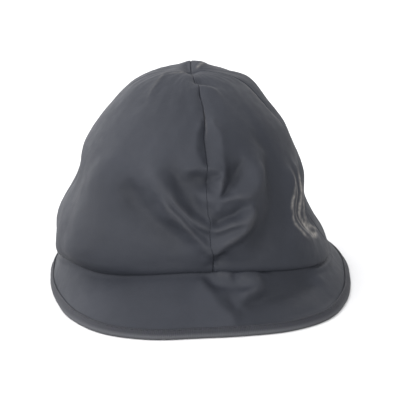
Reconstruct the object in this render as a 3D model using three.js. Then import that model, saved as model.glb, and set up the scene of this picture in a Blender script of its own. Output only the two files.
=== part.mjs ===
// Rain bucket hat: a crown of four cloth panels, a brim in two halves with a turned-up seam
// allowance, and a binding folded over the brim's edge. The hat stands on its binding on Z = 0.
// Millimetres, +Z up. The front of the hat faces -Y, and +X is on the right seen from the front.
import * as THREE from 'three';

// Cloth
const CROWN_CLOTH = 1.4;
const BRIM_CLOTH = 2.0;
const SEAM_GAP = 0.4;

// Brim and its binding. The bow is a share of the brim's width, and the drop is how far under
// the crown's edge the brim turns up into the crown.
const EDGE_HEIGHT = 1.6;
const ALLOWANCE_GAP = 0.6;
const BRIM_DROP = 1.4;
const BRIM_BOW = 0.03;
const BINDING_CLOTH = 0.7;
const BINDING_WIDTH = 5.0;
const BINDING_CLEARANCE = 0.3;

// Angles are degrees round the hat: 0 is the front, 90 the right side seen from the front.
const SEAM_ANGLES = { left: -92, front: 6, right: 84, back: 181 };

// How far the brim's edge is from the axis, all the way round. It has two blunt corners in front,
// the left one further out, as the hat is turned a little to the right.
const BRIM_EDGE = [
  { angle: -90, reach: 103 },
  { angle: -75, reach: 104 },
  { angle: -60, reach: 109 },
  { angle: -45, reach: 118 },
  { angle: -30, reach: 124 },
  { angle: -15, reach: 121.5 },
  { angle: 0, reach: 115 },
  { angle: 15, reach: 115 },
  { angle: 30, reach: 118.5 },
  { angle: 45, reach: 118 },
  { angle: 60, reach: 111 },
  { angle: 75, reach: 105 },
  { angle: 90, reach: 103 },
  { angle: 120, reach: 109 },
  { angle: 150, reach: 119 },
  { angle: 180, reach: 121 },
  { angle: 210, reach: 120 },
  { angle: 240, reach: 110 },
];

// Crown sections from the brim seam to the top: height above the table, the reach from the axis
// on each side, how square the section is, and where the axis leans.
const CROWN_ROWS = [
  { height: 18, left: 98, right: 90, front: 79.5, back: 86, square: 2.5, leanX: 0, leanY: 0, steps: 1 },
  { height: 24, left: 99, right: 88, front: 81.5, back: 88, square: 2.6, leanX: 0, leanY: 0, steps: 3 },
  { height: 38, left: 97.5, right: 80, front: 84, back: 91, square: 2.6, leanX: 0, leanY: 0, steps: 4 },
  { height: 55, left: 93, right: 73.5, front: 84, back: 92, square: 2.5, leanX: -1, leanY: 0, steps: 5 },
  { height: 75, left: 83, right: 73.5, front: 80, back: 89, square: 2.3, leanX: -2, leanY: 0, steps: 4 },
  { height: 95, left: 77, right: 67, front: 73, back: 83, square: 2.1, leanX: -3, leanY: 0, steps: 3 },
  { height: 112, left: 65.5, right: 60, front: 61, back: 73, square: 2.0, leanX: -4, leanY: 1, steps: 2 },
  { height: 126.5, left: 52, right: 49, front: 47, back: 60, square: 2.0, leanX: -5, leanY: 2, steps: 2 },
  { height: 138, left: 38.5, right: 37, front: 31, back: 45, square: 2.0, leanX: -6, leanY: 3, steps: 2 },
  { height: 144.5, left: 23, right: 22, front: 16, back: 25, square: 2.0, leanX: -6, leanY: 3, steps: 2 },
  { height: 146, left: 0, right: 0, front: 0, back: 0, square: 2.0, leanX: -6, leanY: 3, steps: 0 },
];

// How much higher the brim seam is at the front, right and back than at the left, and the share
// of the crown's height by which its sections have forgotten that rise.
const SEAM_RISE = { front: 14, right: 3, back: 10 };
const RISE_GONE_BY = 0.45;

// The seam also climbs over the blunt corner at the left; the greater the tightness, the narrower
// that climb.
const CORNER_RISE = { angle: -64, rise: 7.5, tightness: 21 };

// Folds pressed in or out of the crown. Each runs from one point to another, given as an angle
// round the hat and a height. It begins full (start 1) or grows from nothing (start 0), and is
// gone at its second point. Rise is out of the cloth, bow bends the path upward at its middle,
// and above and below are the widths of its soft flanks.
const CROWN_FOLDS = [
  // the front seam sunk between its two panels, high up
  { fromAngle: 8, fromHeight: 136, toAngle: 5, toHeight: 90, start: 0, bow: 0, rise: -5, above: 8, below: 4 },
  { fromAngle: 15, fromHeight: 134, toAngle: 15, toHeight: 92, start: 0, bow: 0, rise: 1.5, above: 9, below: 4 },
  // the small hollow under it and the swelling below that
  { fromAngle: 3, fromHeight: 95, toAngle: -14, toHeight: 99, start: 1, bow: 0, rise: -2.5, above: 4, below: 4 },
  { fromAngle: 3, fromHeight: 84, toAngle: -6, toHeight: 86, start: 1, bow: 0, rise: 2.0, above: 6, below: 6 },
  // the long creases that fall to the seam from the left
  { fromAngle: 5, fromHeight: 68, toAngle: -24, toHeight: 106, start: 1, bow: 1, rise: -4, above: 5, below: 4 },
  { fromAngle: 5, fromHeight: 51, toAngle: -28, toHeight: 94, start: 1, bow: -2, rise: 3.5, above: 4, below: 4 },
  { fromAngle: 2, fromHeight: 42, toAngle: -36, toHeight: 82, start: 1, bow: -4, rise: -2.5, above: 5, below: 12 },
  // the creases that fall to it from the right, with the flap between them
  { fromAngle: 13, fromHeight: 79, toAngle: 37, toHeight: 108, start: 1, bow: 0, rise: -5, above: 4, below: 5 },
  { fromAngle: 20, fromHeight: 84, toAngle: 35, toHeight: 92, start: 1, bow: 0, rise: 2.5, above: 6, below: 7 },
  { fromAngle: 7, fromHeight: 66, toAngle: 31, toHeight: 79, start: 1, bow: 1, rise: -4, above: 4, below: 4 },
  { fromAngle: 7, fromHeight: 60, toAngle: 35, toHeight: 73, start: 1, bow: -5, rise: 3.5, above: 4, below: 4 },
  { fromAngle: 8, fromHeight: 41, toAngle: 39, toHeight: 84, start: 1, bow: -6, rise: -3.5, above: 3, below: 12 },
  // the blunt corner low on the left, the ridge and hollow low on the right
  { fromAngle: -46, fromHeight: 30, toAngle: -64, toHeight: 100, start: 0, bow: 0, rise: 1.5, above: 9, below: 9 },
  { fromAngle: 64, fromHeight: 34, toAngle: 72, toHeight: 100, start: 0, bow: 9, rise: 2.0, above: 10, below: 6 },
  { fromAngle: 76, fromHeight: 30, toAngle: 90, toHeight: 96, start: 0, bow: 4, rise: -4.5, above: 8, below: 11 },
  // dents of the silhouette on both sides
  { fromAngle: -76, fromHeight: 92, toAngle: -96, toHeight: 60, start: 0, bow: 0, rise: -2.5, above: 8, below: 8 },
  { fromAngle: 80, fromHeight: 144, toAngle: 88, toHeight: 104, start: 0, bow: 0, rise: -3, above: 9, below: 9 },
];
const MM_PER_DEGREE = 1.45;

// Folds begin this far above the crown's edge, and are full by the second height.
const FOLDS_BEGIN = 5;
const FOLDS_FULL = 15;

// Round swellings and dents at the top, in plan: the back of the crown stands up behind the point
// where the four panels meet, and that point is sunk.
const TOP_SWELLS = [
  { x: -5, y: 18, radius: 11, rise: 4 },
  { x: -6, y: 2, radius: 5, rise: -2 },
];

// The panels' edges turn in where they are sewn to each other.
const SEAM_DIP = 1.1;
const SEAM_DIP_WIDTH = 2.2;

const CROWN_COLUMNS = { front: 21, back: 13 };
const GATHER = 1.3;
const BRIM_COLUMNS = { front: 40, back: 32 };
const BRIM_STEPS = 6;

const COLOURS = { cloth: 0x41454e, binding: 0x4a494e };

const degrees = THREE.MathUtils.degToRad;
const lerp = THREE.MathUtils.lerp;
const smooth = THREE.MathUtils.smoothstep;

function hermite(f, start, end, startSlope, endSlope) {
  const f2 = f * f;
  const f3 = f2 * f;
  return (2 * f3 - 3 * f2 + 1) * start + (f3 - 2 * f2 + f) * startSlope
    + (3 * f2 - 2 * f3) * end + (f3 - f2) * endSlope;
}

// A value of one column of a table, on a smooth curve through its rows; t runs from 0 to 1.
function alongRows(rows, column, t) {
  const place = Math.min(Math.max(t, 0), 1) * (rows.length - 1);
  const k = Math.min(Math.floor(place), rows.length - 2);
  const f = place - k;
  const value = (i) => rows[Math.min(Math.max(i, 0), rows.length - 1)][column];
  const startSlope = (value(k + 1) - value(k - 1)) / 2;
  const endSlope = (value(k + 2) - value(k)) / 2;
  return hermite(f, value(k), value(k + 1), startSlope, endSlope);
}

// How far a section with four different reaches goes in the direction of an angle.
function reach(angle, section) {
  const side = Math.sin(angle) >= 0 ? section.right : section.left;
  const ahead = Math.cos(angle) >= 0 ? section.front : section.back;
  if (side <= 0 || ahead <= 0) return 0;
  const sum = Math.abs(Math.sin(angle) / side) ** section.square
    + Math.abs(Math.cos(angle) / ahead) ** section.square;
  return sum ** (-1 / section.square);
}

// The reach of the brim's edge, on a smooth closed curve through the rows of its table.
function edgeReach(angle) {
  const count = BRIM_EDGE.length;
  const row = (i) => {
    const turn = Math.floor(i / count);
    const found = BRIM_EDGE[i - turn * count];
    return { angle: found.angle + 360 * turn, reach: found.reach };
  };
  const at = THREE.MathUtils.radToDeg(angle);
  let k = -count;
  while (row(k + 1).angle <= at) k += 1;
  const [a, b, c, d] = [row(k - 1), row(k), row(k + 1), row(k + 2)];
  const span = c.angle - b.angle;
  const f = (at - b.angle) / span;
  const startSlope = ((c.reach - a.reach) / (c.angle - a.angle)) * span;
  const endSlope = ((d.reach - b.reach) / (d.angle - b.angle)) * span;
  return hermite(f, b.reach, c.reach, startSlope, endSlope);
}

function seamRise(angle) {
  const [s, c] = [Math.sin(angle), Math.cos(angle)];
  const offCorner = 1 - Math.cos(angle - degrees(CORNER_RISE.angle));
  return (c >= 0 ? SEAM_RISE.front : SEAM_RISE.back) * c * c + (s >= 0 ? SEAM_RISE.right : 0) * s * s
    + CORNER_RISE.rise * Math.exp(-CORNER_RISE.tightness * offCorner);
}

function crownSection(t) {
  const section = {};
  for (const column of Object.keys(CROWN_ROWS[0])) section[column] = alongRows(CROWN_ROWS, column, t);
  return section;
}

// A point of the crown without its folds; t runs from 0 at the brim seam to 1 at the top.
function smoothCrown(angle, t) {
  const section = crownSection(t);
  const r = Math.max(reach(angle, section), 0);
  const rise = seamRise(angle) * (1 - smooth(t, 0, RISE_GONE_BY));
  return new THREE.Vector3(
    section.leanX + r * Math.sin(angle),
    section.leanY - r * Math.cos(angle),
    section.height + rise,
  );
}

function crownNormal(angle, t) {
  if (t > 0.999) return new THREE.Vector3(0, 0, 1);
  const step = 1e-3;
  const round = smoothCrown(angle + step, t).sub(smoothCrown(angle - step, t));
  const up = smoothCrown(angle, t + step).sub(smoothCrown(angle, Math.max(t - step, 0)));
  return round.cross(up).normalize();
}

function foldRise(fold, angle, height) {
  const across = (fold.toAngle - fold.fromAngle) * MM_PER_DEGREE;
  const along = fold.toHeight - fold.fromHeight;
  const length = Math.hypot(across, along);
  const dx = (THREE.MathUtils.radToDeg(angle) - fold.fromAngle) * MM_PER_DEGREE;
  const dz = height - fold.fromHeight;
  const t = (dx * across + dz * along) / (length * length);
  const sign = across >= 0 ? 1 : -1;
  const path = fold.bow * 4 * Math.min(Math.max(t, 0), 1) * (1 - Math.min(Math.max(t, 0), 1));
  const off = (sign * (dz * across - dx * along)) / length - path;
  const flank = off > 0 ? fold.above : fold.below;
  const before = Math.min(t, 0) * length;
  const distance = Math.hypot(off / flank, before / Math.max(fold.above, fold.below));
  const strength = lerp(fold.start, 1, smooth(t, 0, 0.4)) * (1 - smooth(t, 0.5, 1.05));
  return fold.rise * Math.exp(-(distance ** 1.6)) * strength;
}

function crownFolds(angle, height) {
  let rise = 0;
  for (const fold of CROWN_FOLDS) rise += foldRise(fold, angle, height);
  return rise;
}

function topSwells(point) {
  let rise = 0;
  for (const swell of TOP_SWELLS) {
    const distance = Math.hypot(point.x - swell.x, point.y - swell.y) / swell.radius;
    rise += swell.rise * Math.exp(-(distance ** 2));
  }
  return rise;
}

// The places of the crown's rows of points between the brim seam and the top, from 0 to 1.
function crownPlaces() {
  const places = [];
  CROWN_ROWS.forEach((row, k) => {
    for (let i = 0; i < row.steps; i += 1) places.push((k + i / row.steps) / (CROWN_ROWS.length - 1));
  });
  places.push(1);
  return places;
}

// One column of the crown's outer and inner face, bottom first and top last.
function crownColumn(angle, seamDistance) {
  const outer = [];
  const inner = [];
  for (const t of crownPlaces()) {
    const base = smoothCrown(angle, t);
    const normal = crownNormal(angle, t);
    const aboveHem = base.z - smoothCrown(angle, 0).z;
    const fade = smooth(aboveHem, FOLDS_BEGIN, FOLDS_FULL) * (1 - smooth(t, 0.88, 1));
    const dip = SEAM_DIP * Math.exp(-((seamDistance(base) / SEAM_DIP_WIDTH) ** 2));
    const rise = (crownFolds(angle, base.z) - dip) * fade + topSwells(base);
    const face = base.clone().addScaledVector(normal, rise);
    outer.push(face);
    inner.push(face.clone().addScaledVector(normal, -CROWN_CLOTH));
  }
  return { outer, inner };
}

// A closed shell from columns of outer and inner points. Columns go round to the right and their
// points go up. A pointed shell's columns all end in the same point. Its squares are cut in two
// along the diagonal that leans left or right, the same on both faces.
function shell(columns, pointed, lean) {
  const positions = [];
  const indices = [];
  const steps = columns[0].outer.length - 1;
  const add = (p) => positions.push(p.x, p.y, p.z) / 3 - 1;
  const tops = pointed && { outer: add(columns[0].outer[steps]), inner: add(columns[0].inner[steps]) };
  const number = (column, face) => column[face].map((p, j) => (tops && j === steps ? tops[face] : add(p)));
  const grid = columns.map((column) => ({ outer: number(column, 'outer'), inner: number(column, 'inner') }));
  const triangle = (a, b, c) => {
    if (a !== b && b !== c && c !== a) indices.push(a, b, c);
  };
  const square = (a, b, c, d) => {
    triangle(a, b, c);
    triangle(a, c, d);
  };
  for (let i = 0; i < grid.length - 1; i += 1) {
    const [here, next] = [grid[i], grid[i + 1]];
    for (let j = 0; j < steps; j += 1) {
      const out = [here.outer[j], next.outer[j], next.outer[j + 1], here.outer[j + 1]];
      const inn = [here.inner[j], next.inner[j], next.inner[j + 1], here.inner[j + 1]];
      if (lean === 'left') {
        square(out[1], out[2], out[3], out[0]);
        square(inn[1], inn[0], inn[3], inn[2]);
      } else {
        square(out[0], out[1], out[2], out[3]);
        square(inn[0], inn[3], inn[2], inn[1]);
      }
    }
    square(here.inner[0], next.inner[0], next.outer[0], here.outer[0]);
    if (!tops) square(here.outer[steps], next.outer[steps], next.inner[steps], here.inner[steps]);
  }
  const [first, last] = [grid[0], grid[grid.length - 1]];
  for (let j = 0; j < steps; j += 1) {
    square(first.inner[j], first.outer[j], first.outer[j + 1], first.inner[j + 1]);
    square(last.outer[j], last.inner[j], last.inner[j + 1], last.outer[j + 1]);
  }
  return geometryOf(positions, indices);
}

function geometryOf(positions, indices) {
  const geometry = new THREE.BufferGeometry();
  geometry.setAttribute('position', new THREE.Float32BufferAttribute(positions, 3));
  geometry.setIndex(indices);
  geometry.computeVertexNormals();
  return geometry;
}

// Columns between two seams, closer together towards the front seam where the folds are.
function panelAngles(from, to, count, gatherAt) {
  const angles = [];
  for (let i = 0; i <= count; i += 1) {
    const even = i / count;
    const share = { start: even ** GATHER, end: 1 - (1 - even) ** GATHER, none: even }[gatherAt];
    angles.push(degrees(lerp(from, to, share)));
  }
  return angles;
}

function crownPanel(from, to, count, gatherAt, lean) {
  const [start, end] = [degrees(from), degrees(to)];
  const across = (angle) => new THREE.Vector3(Math.cos(angle), Math.sin(angle), 0);
  const apex = smoothCrown(0, 1);
  const seamDistance = (p) => Math.min(
    Math.abs(p.clone().sub(apex).dot(across(start))),
    Math.abs(p.clone().sub(apex).dot(across(end))),
  );
  const columns = panelAngles(from, to, count, gatherAt).map((angle) => crownColumn(angle, seamDistance));
  const geometry = shell(columns, true, lean);
  const apart = across(start).sub(across(end)).multiplyScalar(SEAM_GAP / 2);
  return geometry.translate(apart.x, apart.y, 0);
}

// The middle of the brim's cloth in the upright plane through the axis at an angle, as points
// (distance from the axis, height) from the edge to the top of the allowance inside the crown.
function brimMiddle(angle) {
  const inside = CROWN_CLOTH + ALLOWANCE_GAP + BRIM_CLOTH / 2;
  const [foot, top] = crownPlaces().slice(0, 2).map((t) => {
    const p = smoothCrown(angle, t).addScaledVector(crownNormal(angle, t), -inside);
    return new THREE.Vector2(Math.hypot(p.x, p.y), p.z);
  });
  const corner = foot.clone().addScaledVector(foot.clone().sub(top).normalize(), BRIM_DROP);
  const edge = new THREE.Vector2(edgeReach(angle), EDGE_HEIGHT);
  const slope = corner.clone().sub(edge);
  const proud = new THREE.Vector2(slope.y, -slope.x);
  const points = [];
  for (let j = 0; j <= BRIM_STEPS; j += 1) {
    const t = j / BRIM_STEPS;
    points.push(edge.clone().lerp(corner, t).addScaledVector(proud, BRIM_BOW * 4 * t * (1 - t)));
  }
  points.push(top);
  return points;
}

// Unit directions square to a path in its plane, mitred at its corners.
function pathNormals(points) {
  const side = (a, b) => {
    const d = b.clone().sub(a).normalize();
    return new THREE.Vector2(d.y, -d.x);
  };
  return points.map((p, j) => {
    const before = side(points[Math.max(j - 1, 0)], points[Math.max(j, 1)]);
    const after = side(points[Math.min(j, points.length - 2)], points[Math.min(j + 1, points.length - 1)]);
    const mean = before.clone().add(after).normalize();
    return mean.divideScalar(mean.dot(before));
  });
}

function onPlane(angle, distance, height) {
  return new THREE.Vector3(distance * Math.sin(angle), -distance * Math.cos(angle), height);
}

function brimColumn(angle) {
  const middle = brimMiddle(angle);
  const normals = pathNormals(middle);
  const face = (side) => middle.map((p, j) => {
    const q = p.clone().addScaledVector(normals[j], (side * BRIM_CLOTH) / 2);
    return onPlane(angle, q.x, q.y);
  });
  return { outer: face(1), inner: face(-1) };
}

// The angles of one brim half's columns, its ends trimmed back from the other half.
function brimAngles(from, to, count) {
  const trim = THREE.MathUtils.radToDeg(SEAM_GAP / 2 / edgeReach(degrees(SEAM_ANGLES.right)));
  return panelAngles(from + trim, to - trim, count, 'none');
}

// The binding's section at an angle: cloth folded over the brim's edge, cut flat by the table.
function bindingSection(angle) {
  const [edge, next] = brimMiddle(angle);
  const outward = edge.clone().sub(next).normalize();
  const up = new THREE.Vector2(-outward.y, outward.x);
  const slot = BRIM_CLOTH / 2 + BINDING_CLEARANCE;
  const face = slot + BINDING_CLOTH;
  const nose = BINDING_CLEARANCE + 1.6;
  const corners = [
    [-BINDING_WIDTH, face], [-BINDING_WIDTH, slot], [BINDING_CLEARANCE, slot],
    [BINDING_CLEARANCE, -slot], [-BINDING_WIDTH, -slot], [-BINDING_WIDTH, -face],
    [nose - 1.2, -face], [nose, -face / 2], [nose, face / 2], [nose - 1.2, face],
  ];
  return corners.map(([along, across]) => {
    const p = edge.clone().addScaledVector(outward, along).addScaledVector(up, across);
    return onPlane(angle, p.x, Math.max(p.y, 0));
  });
}

// A closed ring through sections that all have the same number of corners.
function ring(sections) {
  const positions = sections.flat().flatMap((p) => [p.x, p.y, p.z]);
  const indices = [];
  const corners = sections[0].length;
  for (let i = 0; i < sections.length; i += 1) {
    const here = i * corners;
    const next = ((i + 1) % sections.length) * corners;
    for (let k = 0; k < corners; k += 1) {
      const l = (k + 1) % corners;
      indices.push(here + k, next + l, here + l, here + k, next + k, next + l);
    }
  }
  return geometryOf(positions, indices);
}

function named(name, geometry, material) {
  const mesh = new THREE.Mesh(geometry, material);
  mesh.name = name;
  return mesh;
}

const cloth = new THREE.MeshStandardMaterial({ color: COLOURS.cloth, roughness: 0.42, metalness: 0 });
const tape = new THREE.MeshStandardMaterial({ color: COLOURS.binding, roughness: 0.8, metalness: 0 });

const { left, front, right, back } = SEAM_ANGLES;
const brimFront = brimAngles(left, right, BRIM_COLUMNS.front);
const brimBack = brimAngles(right, left + 360, BRIM_COLUMNS.back);

const hat = new THREE.Group();
hat.add(
  named('crown_front_left', crownPanel(left, front, CROWN_COLUMNS.front, 'end', 'left'), cloth),
  named('crown_front_right', crownPanel(front, right, CROWN_COLUMNS.front, 'start', 'right'), cloth),
  named('crown_back_right', crownPanel(right, back, CROWN_COLUMNS.back, 'none', 'right'), cloth),
  named('crown_back_left', crownPanel(back, left + 360, CROWN_COLUMNS.back, 'none', 'left'), cloth),
  named('brim_front', shell(brimFront.map(brimColumn), false, 'right'), cloth),
  named('brim_back', shell(brimBack.map(brimColumn), false, 'right'), cloth),
  named('brim_binding', ring([...brimFront, ...brimBack].map(bindingSection)), tape),
);
// The origin goes under the middle of the brim.
const middle = new THREE.Box3().setFromObject(hat).getCenter(new THREE.Vector3());
hat.position.set(-middle.x, -middle.y, 0);

export default hat;
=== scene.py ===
"""The looks of a rain hat: a crown of four coated panels, a brim in two halves and a sewn binding.

Every shape is worked out in millimetres round the hat's own axis and set in place in metres. Angles
are degrees round the hat: 0 is the front, which faces -Y, and 90 is the right side seen from there.
"""

import math
from collections import namedtuple

import bpy
import numpy as np
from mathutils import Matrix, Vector


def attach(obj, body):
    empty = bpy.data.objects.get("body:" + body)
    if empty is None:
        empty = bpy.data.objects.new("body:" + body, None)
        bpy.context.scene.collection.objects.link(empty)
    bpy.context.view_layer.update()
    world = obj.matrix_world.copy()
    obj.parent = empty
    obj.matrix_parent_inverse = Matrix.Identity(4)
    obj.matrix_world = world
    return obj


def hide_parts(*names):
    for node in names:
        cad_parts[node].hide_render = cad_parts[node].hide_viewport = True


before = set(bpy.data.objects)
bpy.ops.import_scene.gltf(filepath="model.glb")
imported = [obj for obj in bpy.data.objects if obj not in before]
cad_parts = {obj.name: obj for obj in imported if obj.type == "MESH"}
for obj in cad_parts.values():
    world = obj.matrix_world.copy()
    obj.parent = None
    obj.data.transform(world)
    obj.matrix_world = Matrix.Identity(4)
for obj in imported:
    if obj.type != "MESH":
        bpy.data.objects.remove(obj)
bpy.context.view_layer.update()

MM = 0.001
AXIS_PLACE = (0.136, -1.664)

# Cloth and seams, as in the solids.
CROWN_CLOTH = 1.4
BRIM_CLOTH = 2.0
ALLOWANCE_GAP = 0.6
BRIM_DROP = 1.4
BRIM_BOW = 0.03
EDGE_HEIGHT = 1.6
SEAM_ANGLES = {"left": -92.0, "front": 6.0, "right": 84.0, "back": 181.0}

# How far the brim's edge is from the axis: angle, reach.
BRIM_EDGE = np.array([
    (-90, 103), (-75, 104), (-60, 109), (-45, 118), (-30, 124), (-15, 121.5), (0, 115), (15, 115),
    (30, 118.5), (45, 118), (60, 111), (75, 105), (90, 103), (120, 109), (150, 119), (180, 121),
    (210, 120), (240, 110),
])

# Crown sections from the brim seam to the top.
SECTION_COLUMNS = ("height", "left", "right", "front", "back", "square", "lean_x", "lean_y")
CROWN_ROWS = np.array([
    (18, 98, 90, 79.5, 86, 2.5, 0, 0),
    (24, 99, 88, 81.5, 88, 2.6, 0, 0),
    (38, 97.5, 80, 84, 91, 2.6, 0, 0),
    (55, 93, 73.5, 84, 92, 2.5, -1, 0),
    (75, 83, 73.5, 80, 89, 2.3, -2, 0),
    (95, 77, 67, 73, 83, 2.1, -3, 0),
    (112, 65.5, 60, 61, 73, 2.0, -4, 1),
    (126.5, 52, 49, 47, 60, 2.0, -5, 2),
    (138, 38.5, 37, 31, 45, 2.0, -6, 3),
    (144.5, 23, 22, 16, 25, 2.0, -6, 3),
    (146, 0, 0, 0, 0, 2.0, -6, 3),
])
SEAM_RISE = {"front": 14.0, "right": 3.0, "back": 10.0}
RISE_GONE_BY = 0.45
CORNER_RISE = {"angle": -64.0, "rise": 7.5, "tightness": 21.0}

# The front seam wanders a little as it climbs: height, angle.
FRONT_SEAM = np.array([
    (32, 6), (45, 6), (51, 5), (60, 5), (66, 6), (71, 5), (83, 5), (94, 6), (100, 7), (116, 7),
    (123, 9), (126, 10), (132, 11), (138, 11), (142, 13), (144, 8), (146, 6),
])
SEAM_PULL_WIDTH = 22.0

# Creases of the crown. Each is its rise out of the cloth, the lengths over which it grows from
# nothing at its start and goes again at its end, and its path of (angle, height).
CREASES = [
    # the front seam sunk between two lips, high up
    (-1.6, (5, 6), [(12.5, 140), (9, 135.5), (10, 130.3), (10, 125.1), (8.6, 120)]),
    (-2.1, (12, 4), [(10, 128), (8, 120), (6.8, 113), (6.6, 106), (6.8, 101)]),
    (1.2, (6, 6), [(7, 124), (2.6, 116), (1.6, 111), (2.8, 104.5), (6.4, 100)]),
    (2.4, (6, 8), [(12, 125), (16, 121), (18, 115), (16.5, 108), (15.8, 101), (15.5, 97),
                   (14.4, 93.5), (13.2, 89.8), (12.3, 86), (11.8, 82.9)]),
    # a level lip with a dark hollow under it, and a swelling lower down with an edge of its own
    (1.6, (6, 2), [(-7, 98.2), (-2, 98.9), (5.8, 99), (11, 98.7), (15.3, 97.4)]),
    (-2.2, (10, 3), [(-7, 95.4), (0, 95.6), (6, 95.2), (11, 94.8), (13.6, 93.6)]),
    (-4.6, (1, 8), [(6.4, 95), (6, 91), (5.8, 85)]),
    (-2.8, (2, 3), [(3, 76), (6, 74.5), (9.5, 73.5)]),
    # the long creases that fall to the seam from the left, from the top one down
    (-3.4, (26, 2), [(-18, 103), (-13, 97), (-9.6, 91.5), (-7.4, 86), (-5.2, 80.5), (-2.4, 75.6),
                     (0.4, 71.2), (3.4, 67.8), (5.4, 65.8)]),
    (2.2, (8, 3), [(-13, 85.4), (-11.2, 81.3), (-9.2, 77.9), (-7.2, 74.2), (-5, 70.9), (-2.5, 68),
                   (0, 65.6), (2.8, 63.3), (5.4, 61.7)]),
    (-1.6, (7, 3), [(-13.5, 80.9), (-10.7, 76.2), (-7.9, 72.2), (-5.2, 68.1), (-2.5, 64),
                    (0.6, 60.3), (3.2, 57.3), (5.2, 54.6)]),
    (3.2, (12, 4), [(-17.8, 82.1), (-15.5, 79), (-12.8, 75.6), (-9.8, 72), (-7.2, 68.3),
                    (-4.5, 63.8), (-2, 59.4), (0.6, 54.7), (3, 50.3), (5, 46), (5.6, 42.4)]),
    # the ones that fall to it from the right
    (-4.4, (10, 3), [(29.5, 102.7), (27.2, 100.2), (25.2, 98.1), (22.5, 94.1), (17.5, 88.2),
                     (14, 83.3), (12, 80.6)]),
    (1.8, (3, 6), [(11.8, 79), (15.2, 80.6), (19, 80.6), (23, 79.8), (27, 80.6), (31, 84.5),
                   (35.6, 90), (38, 96), (38.8, 100)]),
    (-5.6, (12, 2), [(26, 77.4), (23, 74), (19, 71.6), (14.8, 69.4), (10, 67), (6.6, 64.2)]),
    (2.6, (3, 3), [(6.2, 61.2), (10.2, 62), (14, 63.2), (17.8, 64.6), (21, 66), (24, 68.4),
                   (26, 70.6)]),
    (-0.6, (2, 4), [(6.2, 57.4), (11, 58.4), (16, 60.2), (19.6, 62)]),
    (2.8, (3, 1), [(26, 73), (24.6, 67.2), (22.4, 62.7), (20.2, 60), (16.8, 56.4), (12.6, 53.6),
                   (9.6, 50.4), (7, 45.2)]),
    (-2.2, (8, 8), [(30.4, 78), (29.4, 68.5), (27.2, 62), (24.4, 57.5), (20.5, 53.6), (16, 50.6),
                    (12.4, 47.4)]),
    (-3.4, (1, 3), [(10.2, 46), (8.9, 43), (7.8, 39.6), (6.9, 35.6)]),
    (1.2, (2, 7), [(1.2, 46), (2.4, 42), (3.2, 36.4)]),
    # the left corner, where the front turns into the side
    (2.0, (20, 8), [(-53, 100), (-49, 88), (-45.5, 74), (-43.5, 63), (-43.5, 53), (-47, 44),
                    (-56, 36)]),
    # the right side seam and the ridge beside it, crumpled at its foot
    (2.2, (8, 5), [(60, 92), (58, 82), (55, 73), (51.5, 63), (51.5, 54), (57, 46.5), (62, 40)]),
    (-0.8, (8, 5), [(65, 92), (63, 81), (60, 71), (56.5, 61), (57, 53), (62, 46), (67, 41)]),
    (2.0, (8, 5), [(70, 90), (68, 79), (65, 70), (61.5, 61), (63, 53), (68, 46), (74, 40)]),
    (-1.8, (8, 6), [(76, 88), (73, 74), (69, 62), (70, 52), (77, 44)]),
    (1.6, (3, 4), [(73, 70), (77, 64), (83, 57)]),
    (1.4, (3, 4), [(71, 60), (77, 54), (85, 47)]),
    (-1.4, (3, 4), [(73, 65), (78, 59), (85, 52)]),
]

# Wide soft hollows and ridges of the crown, in the same order.
SOFT_CREASES = [
    (-5.8, (7, 18), [(-38, 90), (-33, 81), (-26, 73.6), (-20, 68), (-14.5, 63), (-11, 59.4),
                     (-7, 55), (-3, 50.5), (0, 47)]),
    (3.2, (10, 4), [(-23, 99), (-18.8, 90), (-14.8, 83), (-11.5, 76), (-7, 68), (-1, 59.5)]),
    (-3.4, (16, 4), [(-16, 104), (-9, 97), (-4.5, 89), (-1, 81), (2, 73)]),
    (-4.4, (6, 4), [(-5, 93.5), (1, 91), (6, 89), (10, 91)]),
    (1.4, (5, 4), [(-3, 84), (1, 82), (6, 81), (10, 82)]),
    (-3.8, (10, 4), [(25, 104), (21.5, 98.5), (18.8, 94.5), (16, 90.5)]),
    (2.4, (5, 12), [(18, 84), (24, 82.5), (28.5, 84.5), (33.5, 91), (38, 99)]),
    (-5.4, (12, 16), [(45, 104), (43, 92), (41, 80), (38, 68), (33, 57), (26, 49.5), (18, 44)]),
    (3.8, (20, 10), [(-58, 100), (-54, 88), (-50.5, 74), (-48.5, 63), (-48.5, 53), (-53, 44),
                     (-62, 36)]),
    (-1.2, (20, 16), [(-34, 118), (-37, 100), (-40, 84)]),
    (2.0, (8, 8), [(29, 88), (26, 76), (23.5, 66), (17.5, 57), (10, 49)]),
    (-3.4, (14, 14), [(42, 118), (48, 102), (50, 82), (47, 62), (46, 46)]),
    # behind, where the cloth falls freely
    (1.6, (18, 12), [(150, 112), (146, 86), (140, 60), (134, 40)]),
    (-2.0, (18, 12), [(163, 104), (160, 80), (157, 58), (150, 40)]),
    (1.4, (14, 16), [(178, 40), (168, 54), (152, 62), (132, 66)]),
    (1.6, (18, 12), [(206, 108), (214, 84), (220, 60), (226, 42)]),
    (-2.2, (18, 12), [(196, 100), (200, 74), (198, 52), (190, 40)]),
    (-1.6, (14, 12), [(236, 90), (243, 68), (246, 46)]),
    (1.2, (12, 12), [(115, 96), (112, 74), (108, 52), (112, 40)]),
]

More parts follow.
